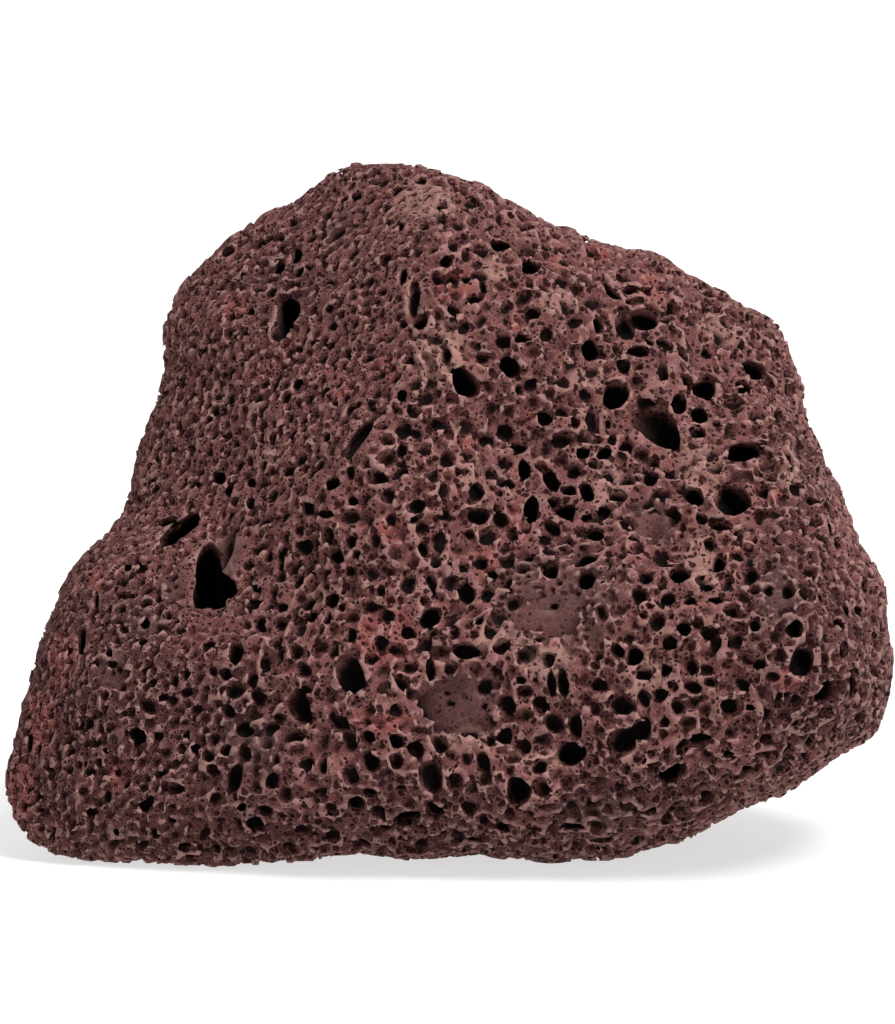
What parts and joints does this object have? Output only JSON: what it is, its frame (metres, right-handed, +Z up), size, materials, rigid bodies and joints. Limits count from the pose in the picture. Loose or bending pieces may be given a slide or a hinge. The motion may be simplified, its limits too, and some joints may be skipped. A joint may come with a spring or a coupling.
{
  "type": "lava rock",
  "caption": "Blocky lump of porous red-brown lava rock with a flat rest underneath, for aquariums, terrariums, fire beds and gardens.",
  "frame": {"origin": "on the ground under the middle of the stone's box", "axes": "+X to the right as one faces the broad front, along the stone's length; +Y away from the front, into the stone; +Z up"},
  "size_m": [0.1488, 0.1076, 0.1124],
  "materials": {
    "lava_rock": "rough, dull, red-brown vesicular scoria"
  },
  "bodies": {
    "root": {"lava_rock": "lava_rock"}
  },
  "joints": []
}
